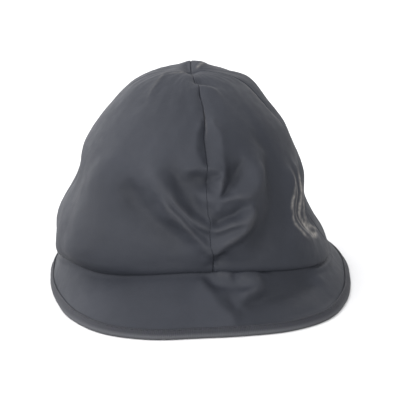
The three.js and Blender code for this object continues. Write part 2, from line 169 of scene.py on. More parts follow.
# Broad dents and swellings of the crown, which also show in its outline. Each runs from one place
# (angle, height) to another and fades over a number of millimetres above and below that line.
SideShape = namedtuple("SideShape", "start end bow rise above below")
SIDE_SHAPES = [
    SideShape((-46, 30), (-64, 100), bow=0, rise=1.5, above=9, below=9),
    SideShape((64, 34), (72, 100), bow=9, rise=2.0, above=10, below=6),
    SideShape((76, 30), (90, 96), bow=4, rise=-4.5, above=8, below=11),
    SideShape((-76, 92), (-96, 60), bow=0, rise=-2.5, above=8, below=8),
    SideShape((80, 144), (88, 104), bow=0, rise=-1.6, above=9, below=9),
    SideShape((-92, 24), (-92, 62), bow=0, rise=2.6, above=14, below=14),
    SideShape((-100, 30), (50, 37), bow=0, rise=3.2, above=17, below=11),
]

# Round swellings and dents near the top, in plan: x, y, radius, rise.
TOP_SWELLS = [(-5, 17, 10, 4.2), (-6, 1, 5, -2.6), (32, 12, 9, 2.8), (-24, 14, 7, -1.6)]

# Creases of the top, as paths of (x, y) seen from above. A painted highlight runs along the named
# paths.
TOP_LEFT_FOLD = [(-9, -1), (-16, -2), (-22.5, -2.5), (-26, -10), (-30.5, -18), (-36.5, -29)]
TOP_FRONT_LIP = [(-1, -19.4), (4, -21), (8.6, -22.6), (13.2, -23.9)]
TOP_BACK_FOLD = [(-2, 6), (1, 11), (3, 20)]
TOP_CREASES = [
    (1.5, (2, 10), TOP_LEFT_FOLD),
    (-3.0, (1, 10), [(-3.3, -15), (0, -16.7), (4, -18.3), (8, -19.9), (12, -21.1)]),
    (0.6, (2, 6), TOP_FRONT_LIP),
    (-2.4, (1, 4), [(-8, 5), (-8.5, 10), (-8.5, 18)]),
    (1.4, (2, 4), TOP_BACK_FOLD),
]

# Bends of the brim, as paths of (x, y) seen from above.
BRIM_CREASES = [
    (2.2, (8, 4), [(-1, -80), (2, -87), (8, -93), (11, -98), (16, -102), (21, -105), (22, -110)]),
    (-2.6, (6, 8), [(16, -91), (20, -95), (25, -98), (30, -101), (33, -106)]),
    (3.0, (2, 2), [(10, -80), (14, -81), (18, -81.4), (21, -81.4)]),
    (3.0, (2, 2), [(24.5, -81), (30, -80.5), (36, -79.8), (40, -79)]),
    (-0.6, (1, 1), [(22.6, -78), (22.8, -84)]),
    (-2.4, (8, 5), [(4.5, -82.4), (9, -85.4), (15, -86), (21, -86), (26, -85.4), (32, -84.6)]),
    (1.2, (3, 3), [(27, -90), (33, -89), (38, -86), (41, -82)]),
    (-6.4, (14, 12), [(24, -98), (31, -94.5), (40, -89.5), (49, -84), (59, -77.5), (69, -68),
                      (80, -54)]),
]

# Painted highlights along hard creases, on the crown and on its top: paler colour that stands in
# for the glints of light on them. Here the rise is how strong the painted highlight is.
HIGHLIGHT_LINES = [
    # along the ridge beside the right side seam, and across its foot
    (0.38, (8, 6), [(62, 86), (58.6, 79), (53.2, 70.4), (51.6, 62.5), (51.4, 54.4), (55, 46),
                    (58, 41)]),
    (0.42, (10, 6), [(64.5, 88), (60.4, 77), (56.2, 66), (55, 57), (57, 49.5), (62, 43)]),
    (0.6, (10, 5), [(69, 87), (63, 73), (58.6, 62), (58.2, 55), (60.5, 48.5), (66, 42), (74, 38)]),
    (0.35, (8, 5), [(71, 82), (65, 72.6), (61.5, 63.4), (61, 55.2), (62.2, 49), (65, 44)]),
    (0.4, (6, 5), [(73.8, 78.5), (68, 69), (65.5, 58), (67.2, 50.7), (74, 43)]),
    (0.55, (2, 3), [(60, 52), (65, 47.4), (72, 42.5), (83, 38.5)]),
    (0.45, (2, 3), [(58, 44), (66.5, 40), (78.8, 37)]),
    # along the front seam and the right side seam, high up
    (0.08, (6, 8), [(10.7, 131.5), (10.7, 127.2), (10, 123.2), (9.2, 118.3), (8.4, 114)]),
    (0.3, (8, 12), [(82.4, 140), (82.3, 128), (82.2, 118), (82.4, 108)]),
]
TOP_HIGHLIGHT_LINES = [
    (0.09, (2, 14), TOP_LEFT_FOLD),
    (0.12, (2, 4), [(-10, -4), (-16, -5), (-22, -6)]),
    (0.03, (2, 6), TOP_FRONT_LIP),
    (0.22, (1, 3), TOP_BACK_FOLD),
]

# The chart that the crown's creases are drawn on has 1 mm cells: round the hat, and up the front.
# The plan that the others are drawn on has 1 mm cells too.
MM_PER_DEGREE = 1.45
CHART_ROUND = 522
CHART_UP = 250
CHART_FOOT = 25
PLAN_CELLS = 280

# How far cloth is drawn up beside its creases, and how softly it bends, both in cells.
CREASE_REACH, CREASE_BLUR = 13.0, 1.2
SOFT_REACH, SOFT_BLUR = 16.0, 3.2
TOP_REACH, TOP_BLUR = 8.0, 0.8
BRIM_REACH, BRIM_BLUR = 17.0, 1.2
SOFT_DEPTH = 1.35
INSIDE_BLUR = 2.4
# How soft the painted highlight lines are, in cells, and how strong.
HIGHLIGHT_BLUR, HIGHLIGHT_STRENGTH = 0.55, 2.0

# The unevenness of the cloth: how high, how wide round the hat, how wide up it, which random draw,
# and how many widths go round the hat. The strays move the creases a little along and up the cloth.
CROWN_UNEVEN = [(0.55, 29, 34, 3, 18), (0.22, 12.43, 13, 4, 42), (0.05, 9.0, 4.5, 5, 58)]
BRIM_UNEVEN = [(0.5, 34.2, 30, 11, 20), (0.16, 12.21, 12, 12, 56)]
STRAY, STRAY_ROUND, STRAY_UP, STRAY_CELLS = 0.8, 9.0, 8, 58
TOP_CALM = 30
BRIM_MM_PER_DEGREE = 1.9

# Where creases come and go: up the crown to its top, from the hem up, and in from the brim's edges.
TOP_FADE = (0.84, 0.96)
HEM_FADE = (0.5, 9.0)
BRIM_EDGE_FADE = (0, 9)
BRIM_CORNER_FADE = (0, 3.5)

# The puckers that sewing leaves beside a seam: how high, how wide, and how far from it they fade.
SEAM_PUCKER = {"rise": 0.22, "along": 9, "up": 3.2, "fade": 4.5}
HEM_PUCKER = {"rise": 0.16, "along": 4.5, "up": 9, "fade": 5}
BRIM_PUCKER = {"rise": 0.14, "along": 4.275, "up": 6, "fade": 4}

# How far the cloth turns in at its edges: at the seams by height, and at the hem.
SEAM_ROLLS = ((38.0, 1.5), (50.0, 0.5), (90.0, 0.5), (104.0, 0.8), (125.0, 1.0))
HEM_ROLL = 1.8
THINNEST_EDGE = 0.12
# The brim's cloth comes up round against the foot of the crown.
BRIM_ROUND = 1.2
BRIM_ROUND_PLACE = 3.2
BRIM_ROUND_WIDTH = 2.2

# Painted highlight on crests that stand sharply out and on high ones, and painted shade in the
# hollows of the folds: from which height in millimetres, and by how much for each of them.
CREST_FROM, CREST_HIGHLIGHT = 0.3, 0.03
HIGH_FROM, HIGH_FOLD_HIGHLIGHT = 0.8, 0.005
SUNK_FROM, SUNK_PAINTED_SHADE, MOST_PAINTED_SHADE = 0.8, 0.045, 0.4

# Mesh steps in from a panel's edge, and half of the gap that is left at a seam.
EDGE_STEPS = np.array([0.0, 0.12, 0.3, 0.55, 0.85, 1.2, 1.6, 2.1, 2.7, 3.4, 4.2, 5.1])
SEAM_GAP = 0.03

# Distances from the axis, to turn lengths round the hat into angles.
CROWN_ARM = 92.0
BRIM_SEAM_ARM = 100
BRIM_ARM = 110
STITCH_ARM = 114


def smoothstep(value, low, high):
    share = np.clip((value - low) / (high - low), 0, 1)
    return share * share * (3 - 2 * share)


def hermite(share, start, end, start_slope, end_slope):
    """A smooth step from start to end, which leaves and arrives with the given slopes."""
    square, cube = share**2, share**3
    return ((2 * cube - 3 * square + 1) * start + (cube - 2 * square + share) * start_slope
            + (3 * square - 2 * cube) * end + (cube - square) * end_slope)


def crown_section(t):
    """Every column of the crown's table on a smooth curve through its rows; t runs from 0 to 1."""
    place = np.clip(t, 0, 1) * (len(CROWN_ROWS) - 1)
    k = np.minimum(np.floor(place).astype(int), len(CROWN_ROWS) - 2)
    before, here, after, later = (CROWN_ROWS[np.clip(k + i, 0, len(CROWN_ROWS) - 1)]
                                  for i in (-1, 0, 1, 2))
    share = (place - k)[..., None]
    found = hermite(share, here, after, (after - before) / 2, (later - here) / 2)
    return dict(zip(SECTION_COLUMNS, np.moveaxis(found, -1, 0)))


def seam_rise(angle):
    sine, cosine = np.sin(angle), np.cos(angle)
    off_corner = 1 - np.cos(angle - math.radians(CORNER_RISE["angle"]))
    return (np.where(cosine >= 0, SEAM_RISE["front"], SEAM_RISE["back"]) * cosine**2
            + np.where(sine >= 0, SEAM_RISE["right"], 0) * sine**2
            + CORNER_RISE["rise"] * np.exp(-CORNER_RISE["tightness"] * off_corner))


def smooth_crown(angle, t):
    """Points of the crown without its folds, for angles in radians and places from 0 to 1."""
    angle, t = np.broadcast_arrays(angle, t)
    section = crown_section(t)
    sine, cosine = np.sin(angle), np.cos(angle)
    side = np.maximum(np.where(sine >= 0, section["right"], section["left"]), 1e-4)
    ahead = np.maximum(np.where(cosine >= 0, section["front"], section["back"]), 1e-4)
    power = section["square"]
    total = np.abs(sine / side) ** power + np.abs(cosine / ahead) ** power
    reach = total ** (-1 / power)
    rise = seam_rise(angle) * (1 - smoothstep(t, 0, RISE_GONE_BY))
    return np.stack([section["lean_x"] + reach * sine, section["lean_y"] - reach * cosine,
                     section["height"] + rise], axis=-1)


def unit(vectors):
    return vectors / np.maximum(np.linalg.norm(vectors, axis=-1, keepdims=True), 1e-12)


def crown_normal(angle, t):
    """Directions out of the crown, which turn straight up where the panels meet in one point."""
    step = 1e-3
    around = smooth_crown(angle + step, t) - smooth_crown(angle - step, t)
    up = smooth_crown(angle, t + step) - smooth_crown(angle, np.maximum(t - step, 0))
    normal = unit(np.cross(around, up))
    straight_up = smoothstep(np.broadcast_to(t, normal.shape[:-1]), 0.985, 0.999)[..., None]
    return unit(normal * (1 - straight_up) + np.array([0, 0, 1.0]) * straight_up)


def climb_table():
    """How far up the front of the crown each height is, along the cloth."""
    rows = crown_section(np.linspace(0, 1, 400))
    steps = np.hypot(np.diff(rows["height"]), np.diff(rows["front"] - rows["lean_y"]))
    return rows["height"], np.concatenate([[0], np.cumsum(steps)])


CLIMB_HEIGHTS, CLIMB_LENGTHS = climb_table()


def climb(height):
    return np.interp(height, CLIMB_HEIGHTS, CLIMB_LENGTHS)


def lengths_along(path):
    return np.concatenate([[0], np.cumsum(np.linalg.norm(np.diff(path, axis=0), axis=1))])


def smooth_path(points):
    """Points on a smooth curve through the given ones, close enough to cross every cell."""
    spacing = 0.4
    found = []
    for k in range(len(points) - 1):
        here, after = points[k], points[k + 1]
        before, later = points[max(k - 1, 0)], points[min(k + 2, len(points) - 1)]
        count = max(int(np.linalg.norm(after - here) / spacing), 1)
        share = (np.arange(count) / count)[:, None]
        found.append(hermite(share, here, after, (after - before) / 2, (later - here) / 2))
    return np.concatenate(found + [points[-1:]])


def blurred(grid, width):
    """The grid softened by a bell curve of that width in cells. It wraps round at its edges."""
    reach = int(math.ceil(3 * width))
    weights = np.exp(-0.5 * (np.arange(-reach, reach + 1) / width) ** 2)
    weights /= weights.sum()
    for axis in (0, 1):
        grid = sum(w * np.roll(grid, k - reach, axis) for k, w in enumerate(weights))
    return grid


def drawn_lines(creases, shape, place):
    """The rises of the creases in the cells of a chart that they cross, and how many cross each."""
    total, count = np.zeros(shape), np.zeros(shape)
    for rise, (first, last), path in creases:
        path = smooth_path(place(np.array(path, float)))
        along = lengths_along(path)
        rises = rise * smoothstep(along, -1.0, first) * smoothstep(along[-1] - along, -1.0, last)
        across, up = (np.round(path[:, i]).astype(int) % shape[1 - i] for i in (0, 1))
        np.add.at(total, (up, across), rises)
        np.add.at(count, (up, across), 1)
    return total / np.maximum(count, 1), count


def drawn_cloth(creases, shape, place, reach):
    """Cloth drawn tight from crease to crease on a chart, sinking back to nothing over `reach`
    cells. The heights between the creases are found by conjugate gradients."""
    most_rounds, small_enough, tiny = 240, 1e-8, 1e-30
    fixed, count = drawn_lines(creases, shape, place)
    free = count == 0

    def beside(grid):
        return (np.roll(grid, 1, 0) + np.roll(grid, -1, 0) + np.roll(grid, 1, 1)
                + np.roll(grid, -1, 1))

    cloth = np.zeros(shape)
    left_over = beside(fixed) * free
    search = left_over.copy()
    size = np.sum(left_over**2)
    for _ in range(most_rounds):
        pulled = ((4 + reach**-2) * search - beside(search)) * free
        step = size / max(np.sum(search * pulled), tiny)
        cloth += step * search
        left_over -= step * pulled
        new_size = np.sum(left_over**2)
        search = left_over + search * (new_size / max(size, tiny))
        size = new_size
        if size < small_enough:
            break
    return cloth + fixed


def picked(grid, across, up):
    """Values of a chart between its cells. It wraps round at its edges."""
    i, j = np.floor(across).astype(int), np.floor(up).astype(int)
    fx, fy = across - i, up - j
    rows, columns = grid.shape
    low = (grid[j % rows, i % columns] * (1 - fx) + grid[j % rows, (i + 1) % columns] * fx)
    high = (grid[(j + 1) % rows, i % columns] * (1 - fx)
            + grid[(j + 1) % rows, (i + 1) % columns] * fx)
    return low * (1 - fy) + high * fy


def crumple(x, y, seed, cells=64):
    """Smooth unevenness between about -1 and 1, the same each time. x repeats after `cells`."""
    rows = 64
    turns = np.random.default_rng(seed).uniform(0, 2 * math.pi, (cells, rows))
    slope_x, slope_y = np.cos(turns), np.sin(turns)
    i, j = np.floor(x).astype(int), np.floor(y).astype(int)
    fx, fy = x - i, y - j
    ease_x, ease_y = (f**3 * (f * (f * 6 - 15) + 10) for f in (fx, fy))

    def corner(a, b):
        p, q = (i + a) % cells, (j + b) % rows
        return slope_x[p, q] * (fx - a) + slope_y[p, q] * (fy - b)

    low = corner(0, 0) + ease_x * (corner(1, 0) - corner(0, 0))
    high = corner(0, 1) + ease_x * (corner(1, 1) - corner(0, 1))
    return 1.5 * (low + ease_y * (high - low))


def unevenness(layers, across, up):
    return sum(rise * crumple(across / width, up / height, seed, cells)
               for rise, width, height, seed, cells in layers)


def puckers(kind, along, up, distance, seed, cells=64):
    """Small waves beside a seam, which fade with the distance from it."""
    return (kind["rise"] * crumple(along / kind["along"], up / kind["up"], seed, cells)
            * np.exp(-distance / kind["fade"]))


def on_chart(points):
    """Crown paths of (angle, height) as cells of the chart."""
    return np.stack([points[:, 0] * MM_PER_DEGREE, climb(points[:, 1]) + CHART_FOOT], axis=-1)


def on_plan(points):
    """Paths of (x, y) seen from above as cells of a plan."""
    return points + PLAN_CELLS / 2


def crease_charts():
    crown, plan = (CHART_UP, CHART_ROUND), (PLAN_CELLS, PLAN_CELLS)
    sharp = blurred(drawn_cloth(CREASES, crown, on_chart, CREASE_REACH), CREASE_BLUR)
    soft = blurred(drawn_cloth(SOFT_CREASES, crown, on_chart, SOFT_REACH), SOFT_BLUR)
    top = blurred(drawn_cloth(TOP_CREASES, plan, on_plan, TOP_REACH), TOP_BLUR)
    brim = blurred(drawn_cloth(BRIM_CREASES, plan, on_plan, BRIM_REACH), BRIM_BLUR)
    outside = {"crown": sharp + SOFT_DEPTH * soft, "top": top, "brim": brim}
    inside = {name: blurred(grid, INSIDE_BLUR) for name, grid in outside.items()}
    # Painted highlight lines, softened, that are added to the coating's colour.
    drawn = {"crown": drawn_lines(HIGHLIGHT_LINES, crown, on_chart)[0],
             "top": drawn_lines(TOP_HIGHLIGHT_LINES, plan, on_plan)[0]}
    highlight_grids = {name: HIGHLIGHT_STRENGTH * blurred(grid, HIGHLIGHT_BLUR) for name, grid in drawn.items()}
    return outside, inside, highlight_grids


OUTSIDE, INSIDE, HIGHLIGHT_CHARTS = crease_charts()


def side_shape(shape, angle, height):
    """The rise of a broad dent or swelling at a point of the crown."""
    across = (shape.end[0] - shape.start[0]) * MM_PER_DEGREE
    along = shape.end[1] - shape.start[1]
    length = math.hypot(across, along)
    dx = (angle - shape.start[0]) * MM_PER_DEGREE
    dz = height - shape.start[1]
    t = (dx * across + dz * along) / length**2
    held = np.clip(t, 0, 1)
    side = 1 if across >= 0 else -1
    off = side * (dz * across - dx * along) / length - shape.bow * 4 * held * (1 - held)
    flank = np.where(off > 0, shape.above, shape.below)
    before = np.minimum(t, 0) * length / max(shape.above, shape.below)
    strength = smoothstep(t, 0, 0.4) * (1 - smoothstep(t, 0.5, 1.05))
    return shape.rise * np.exp(-np.hypot(off / flank, before) ** 1.6) * strength


def seam_drift(angle, height):
    """The angle of the cloth at a point, moved along with the front seam as it wanders."""
    drift = np.interp(height, FRONT_SEAM[:, 0], FRONT_SEAM[:, 1]) - SEAM_ANGLES["front"]
    away = (angle - SEAM_ANGLES["front"]) / SEAM_PULL_WIDTH
    return angle + drift * np.exp(-(away**2))


def rolled(distance, radius):
    """How deep a rolled edge has turned in at a distance from it."""
    left = np.clip(radius - distance, 0, radius)
    return radius - np.sqrt(np.maximum(radius**2 - left**2, 0))


def painted_light_marks(fold, inside_fold):
    """Painted highlight on crests and painted shade in hollows, from the folds of both faces."""
    painted_highlight = (CREST_HIGHLIGHT * np.maximum(fold - inside_fold - CREST_FROM, 0)
            + HIGH_FOLD_HIGHLIGHT * np.maximum(fold - HIGH_FROM, 0))
    return painted_highlight, np.clip(SUNK_PAINTED_SHADE * np.maximum(-fold - SUNK_FROM, 0), 0, MOST_PAINTED_SHADE)


def crown_faces(angles, places, seams):
    """Outer and inner points of a crown panel, with its place on the cloth, and the painted
    highlight and painted shade of the coating there."""
    angle, t = np.meshgrid(angles, places, indexing="ij")
    height = smooth_crown(np.radians(angle), t)[..., 2]
    turned = seam_drift(angle, height)
    facing = np.radians(turned)
    base, normal, section = smooth_crown(facing, t), crown_normal(facing, t), crown_section(t)
    arm = np.hypot(base[..., 0] - section["lean_x"], base[..., 1] - section["lean_y"])
    seam_distance = np.min([np.abs(np.radians(angle - seam)) * arm for seam in seams], axis=0)
    above_hem = base[..., 2] - smooth_crown(facing, 0 * t)[..., 2]
    along, up = turned * MM_PER_DEGREE, climb(base[..., 2])

    off_top = 1 - smoothstep(t, *TOP_FADE)
    off_hem = smoothstep(above_hem, *HEM_FADE)
    wrapped = (turned + 180) % 360 - 180
    broad = sum(side_shape(shape, wrapped, base[..., 2]) for shape in SIDE_SHAPES) * off_top
    for x, y, size, rise in TOP_SWELLS:
        broad += rise * np.exp(-((base[..., 0] - x) ** 2 + (base[..., 1] - y) ** 2) / size**2)

    near_top = np.minimum(1, arm / TOP_CALM)
    stray_along = STRAY * crumple(along / STRAY_ROUND, up / STRAY_UP, 8, STRAY_CELLS) * near_top
    stray_up = STRAY * crumple(along / STRAY_ROUND, up / STRAY_UP + 20, 9, STRAY_CELLS) * near_top
    plan = on_plan(base[..., :2])

    def folds(charts):
        return (picked(charts["crown"], along + stray_along, up + stray_up + CHART_FOOT) * off_top
                + picked(charts["top"], plan[..., 0] + stray_along, plan[..., 1] + stray_up))

    fold, inside_fold = folds(OUTSIDE), folds(INSIDE)
    uneven = unevenness(CROWN_UNEVEN, along, up) * near_top
    pucker = (puckers(SEAM_PUCKER, seam_distance, up, seam_distance, 6)
              + puckers(HEM_PUCKER, along, above_hem, above_hem, 7, 116))
    outer = (fold + uneven) * off_hem + broad + pucker
    inner = np.minimum((inside_fold + uneven) * off_hem + broad - CROWN_CLOTH,
                       outer - CROWN_CLOTH / 2)
    seam_roll = np.interp(base[..., 2], *zip(*SEAM_ROLLS))
    roll = np.minimum(rolled(seam_distance, seam_roll) + rolled(above_hem, HEM_ROLL),
                      CROWN_CLOTH - THINNEST_EDGE)
    # Painted highlight on crests and painted shade in the hollows of the folds, for the coating's
    # colour.
    painted_highlight, sunk = painted_light_marks(fold, inside_fold)
    return {
        "outer": base + normal * (outer - roll)[..., None],
        "inner": base + normal * inner[..., None],
        "cut": np.stack([along, up], axis=-1),
        "painted_highlight": np.clip(painted_highlight + folds(HIGHLIGHT_CHARTS), 0, 1),
        "sunk": sunk,
    }


def even_columns(first, last, arm, spacing):
    """Angles across a panel, `spacing` mm apart at its widest and closer beside the seams."""
    width = math.radians(last - first) * arm
    middle = np.linspace(EDGE_STEPS[-1], width - EDGE_STEPS[-1],
                         int((width - 2 * EDGE_STEPS[-1]) / spacing))
    steps = np.concatenate([EDGE_STEPS[:-1], middle, (width - EDGE_STEPS[:-1])[::-1]])
    steps = np.clip(steps, SEAM_GAP, width - SEAM_GAP)
    return first + np.degrees(steps / arm)


def even_places(angle, spacing):
    """Places up a panel, `spacing` mm apart and closer beside the hem."""
    t = np.linspace(0, 1, 1200)
    line = smooth_crown(math.radians(angle), t)
    length = lengths_along(line)
    steps = np.concatenate([EDGE_STEPS[:-1], np.linspace(
        EDGE_STEPS[-1], length[-1], int((length[-1] - EDGE_STEPS[-1]) / spacing))])
    return np.interp(steps, length, t)


# Meshes

def in_place(points):
    """Millimetres round the hat's axis as metres in the frame."""
    return (points + np.array([AXIS_PLACE[0], AXIS_PLACE[1], 0.0])) * MM


def new_object(name, data):
    made = bpy.data.objects.new(name, data)
    bpy.context.scene.collection.objects.link(made)
    return made


def mesh_object(name, points, faces, finishes, finish_of_face, attributes):
    """A smooth mesh from points, faces of three or four corners, and values kept at its points."""
    mesh = bpy.data.meshes.new(name)
    mesh.from_pydata(in_place(points).tolist(), [], faces)
    for finish in finishes:
        mesh.materials.append(finish)
    mesh.polygons.foreach_set("material_index", np.asarray(finish_of_face, np.int32))
    mesh.polygons.foreach_set("use_smooth", np.ones(len(mesh.polygons), bool))
    for key, values in attributes.items():
        kind, part = ("FLOAT_VECTOR", "vector") if values.ndim == 2 else ("FLOAT", "value")
        kept = mesh.attributes.new(key, kind, "POINT")
        kept.data.foreach_set(part, values.astype(np.float32).ravel())
    mesh.update()
    return new_object(name, mesh)


def squares(numbers, flip=False):
    """Squares between the neighbours of a grid of point numbers."""
    a, b, c, d = numbers[:-1, :-1], numbers[1:, :-1], numbers[1:, 1:], numbers[:-1, 1:]
    order = (a, d, c, b) if flip else (a, b, c, d)
    return np.stack([x.ravel() for x in order], axis=-1)


def shell(node, faces, pointed, finishes):
    """A closed piece of cloth, in place of a node, from its outer and inner grids, whose columns go
    to the right and whose rows go up. A pointed one ends in one point at the top."""
    columns, rows = faces["outer"].shape[:2]
    count = columns * rows
    outer = np.arange(count).reshape(columns, rows)
    inner = outer + count
    if pointed:
        outer[:, -1], inner[:, -1] = outer[0, -1], inner[0, -1]
    sides = [
        squares(outer), squares(inner, flip=True),
        squares(np.stack([outer[:, 0], inner[:, 0]], axis=1), flip=True),
        squares(np.stack([outer[0], inner[0]], axis=0)),
        squares(np.stack([outer[-1], inner[-1]], axis=0), flip=True),
    ]
    if not pointed:
        sides.append(squares(np.stack([outer[:, -1], inner[:, -1]], axis=1)))
    finish = np.concatenate([np.full(len(side), int(k == 1)) for k, side in enumerate(sides)])
    corners = np.concatenate(sides)
    used, numbers = np.unique(corners, return_inverse=True)
    numbers = numbers.reshape(corners.shape)
    polygons, kept = [], []
    for corner, which in zip(numbers.tolist(), finish.tolist()):
        single = [p for k, p in enumerate(corner) if p != corner[k - 1]]
        if len(set(single)) >= 3:
            polygons.append(single)
            kept.append(which)
    points = np.concatenate([faces["outer"].reshape(-1, 3), faces["inner"].reshape(-1, 3)])[used]
    cut = np.tile(faces["cut"].reshape(-1, 2), (2, 1))[used]
    # The painted highlight and painted shade go with the points, for the coating's colour.
    values = {
        "cut": np.concatenate([cut, np.zeros((len(cut), 1))], axis=1),
        "painted_highlight": np.tile(faces["painted_highlight"].ravel(), 2)[used],
        "sunk": np.tile(faces["sunk"].ravel(), 2)[used],
    }
    piece = mesh_object(f"{node}_cloth", points, polygons, finishes, kept, values)
    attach(piece, "root")
    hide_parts(node)


def crown_panel(node, first, last, spacing, finishes):
    angles = even_columns(first, last, CROWN_ARM, spacing)
    places = even_places((first + last) / 2, spacing)
    shell(node, crown_faces(angles, places, (first, last)), True, finishes)


def edge_reach(angle):
    """How far the brim's edge is from the axis, on a smooth closed curve through its table."""
    turn = np.concatenate([BRIM_EDGE + [360 * k, 0] for k in (-1, 0, 1)])
    angle = (angle + 90) % 360 - 90
    k = np.searchsorted(turn[:, 0], angle, side="right") - 1
    before, here, after, later = (turn[k + i] for i in (-1, 0, 1, 2))
    span = after[..., 0] - here[..., 0]
    start_slope = (after[..., 1] - before[..., 1]) / (after[..., 0] - before[..., 0]) * span
    end_slope = (later[..., 1] - here[..., 1]) / (later[..., 0] - here[..., 0]) * span
    share = (angle - here[..., 0]) / span
    return hermite(share, here[..., 1], after[..., 1], start_slope, end_slope)


def brim_lines(angles, spacing):
    """The middle of the brim's cloth at each angle, as (distance from the axis, height), from the
    edge over the corner under the crown to the top of the allowance turned up inside."""
    radians = np.radians(angles)
    inside = CROWN_CLOTH + ALLOWANCE_GAP + BRIM_CLOTH / 2
    ends = []
    for t in (0.0, 0.1):
        places = np.full(len(angles), t)
        point = smooth_crown(radians, places) - inside * crown_normal(radians, places)
        ends.append(np.stack([np.hypot(point[:, 0], point[:, 1]), point[:, 2]], axis=-1))
    foot, top = ends
    corner = foot + unit(foot - top) * BRIM_DROP
    edge = np.stack([edge_reach(angles), np.full(len(angles), EDGE_HEIGHT)], axis=-1)
    slope = corner - edge
    proud = np.stack([slope[:, 1], -slope[:, 0]], axis=-1)
    width = int(np.mean(np.linalg.norm(slope, axis=1)) / spacing)
    lines = []
    for share in np.linspace(0, 1, width):
        lines.append(edge + slope * share + proud * BRIM_BOW * 4 * share * (1 - share))
    for share in np.linspace(0, 1, 9)[1:]:
        lines.append(corner + (top - corner) * share)
    lines = np.stack(lines, axis=1)
    for _ in range(3):
        lines[:, 1:-1] = (lines[:, :-2] + 2 * lines[:, 1:-1] + lines[:, 2:]) / 4
    return lines, width


def line_normals(lines):
    """Unit directions square to lines of points in their upright planes."""
    step = np.gradient(lines, axis=1)
    return unit(np.stack([step[..., 1], -step[..., 0]], axis=-1))


def upright(angles, distance, height):
    """Points at each of the angles, from grids of distances from the axis and of heights."""
    radians = np.radians(angles)[:, None]
    return np.stack([distance * np.sin(radians), -distance * np.cos(radians), height], axis=-1)


def brim_faces(angles, spacing):
    """The same for half of the brim as crown_faces gives for a panel."""
    lines, width = brim_lines(angles, spacing)
    normals = line_normals(lines)
    flat = upright(angles, lines[..., 0], lines[..., 1])
    from_edge = np.linalg.norm(lines - lines[:, :1], axis=-1)
    to_corner = np.linalg.norm(lines - lines[:, width - 1:width], axis=-1)
    on_brim = np.arange(lines.shape[1]) < width
    ease = (smoothstep(from_edge, *BRIM_EDGE_FADE) * smoothstep(to_corner, *BRIM_CORNER_FADE)
            * on_brim)
    plan = on_plan(flat[..., :2])
    around = np.broadcast_to((angles * BRIM_MM_PER_DEGREE)[:, None], from_edge.shape)
    uneven = unevenness(BRIM_UNEVEN, around, from_edge) * ease
    pucker = puckers(BRIM_PUCKER, around, from_edge, to_corner, 13, 160) * on_brim
    past_round = (to_corner - BRIM_ROUND_PLACE) / BRIM_ROUND_WIDTH
    round_up = BRIM_ROUND * np.exp(-(past_round**2)) * on_brim
    bend, inside_bend = (picked(charts["brim"], plan[..., 0], plan[..., 1]) * ease
                         for charts in (OUTSIDE, INSIDE))

    def face(rise, side):
        rise = rise + uneven + pucker + round_up
        moved = lines + normals * (rise + side * BRIM_CLOTH / 2)[..., None]
        return upright(angles, moved[..., 0], moved[..., 1])

    # Painted highlight on the brim's crests and painted shade in its hollows.
    painted_highlight, sunk = painted_light_marks(bend, inside_bend)
    return {"outer": face(bend, 1), "inner": face(inside_bend, -1),
            "cut": np.stack([around, from_edge], axis=-1), "painted_highlight": painted_highlight, "sunk": sunk}


def brim_half(node, first, last, spacing, finishes):
    trim = math.degrees(SEAM_GAP / BRIM_SEAM_ARM)
    count = int(math.radians(last - first) * BRIM_ARM / spacing)
    angles = np.linspace(first + trim, last - trim, count)
    shell(node, brim_faces(angles, spacing), False, finishes)


# The binding is a tape folded over the brim's edge. Its section is given from the brim's edge:
# how far outward, and how far up from the middle of the brim's cloth.
BINDING_WIDTH = 5.0
BINDING_CLOTH = 0.7
BINDING_FACE = 2.0
BINDING_NOSE = 1.9
BINDING_COLUMNS = 760


def binding_section():
    """The outline of the folded tape, from its upper inner edge round the nose and back inside."""
    nose = [(BINDING_NOSE - BINDING_FACE * 0.8 + math.sin(a) * BINDING_FACE * 0.8,
             math.cos(a) * BINDING_FACE) for a in np.radians(np.linspace(0, 180, 13))]
    inner = BINDING_FACE - BINDING_CLOTH
    fold = [(math.sin(a) * 0.3 + 0.1, math.cos(a) * inner)
            for a in np.radians(np.linspace(180, 0, 7))]
    edge = [(-BINDING_WIDTH, inner + 0.08), (-BINDING_WIDTH + 0.16, BINDING_FACE - 0.3),
            (-BINDING_WIDTH + 0.5, BINDING_FACE - 0.07)]
    over = edge + [(x, BINDING_FACE) for x in (-BINDING_WIDTH + 0.95, -3.2, -2.2, -1.2)]
    under = [(x, -y) for x, y in over[::-1]]
    within = [(-BINDING_WIDTH, -inner), (-2.5, -inner)]
    back = [(-2.5, inner), (-BINDING_WIDTH, inner)]
    return np.array(over + nose + under + within + fold + back)


def beside_edge(angles, along, across, lowest):
    """Points at the brim's edge, given by how far outward along its cloth and how far up from it
    they are. None is lower than `lowest`."""
    lines, _ = brim_lines(angles, 2.0)
    edge = lines[:, 0]
    outward = unit(edge - lines[:, 1])
    up = np.stack([-outward[:, 1], outward[:, 0]], axis=-1)
    points = edge[:, None] + outward[:, None] * along[..., None] + up[:, None] * across[..., None]
    return upright(angles, points[..., 0], np.maximum(points[..., 1], lowest))


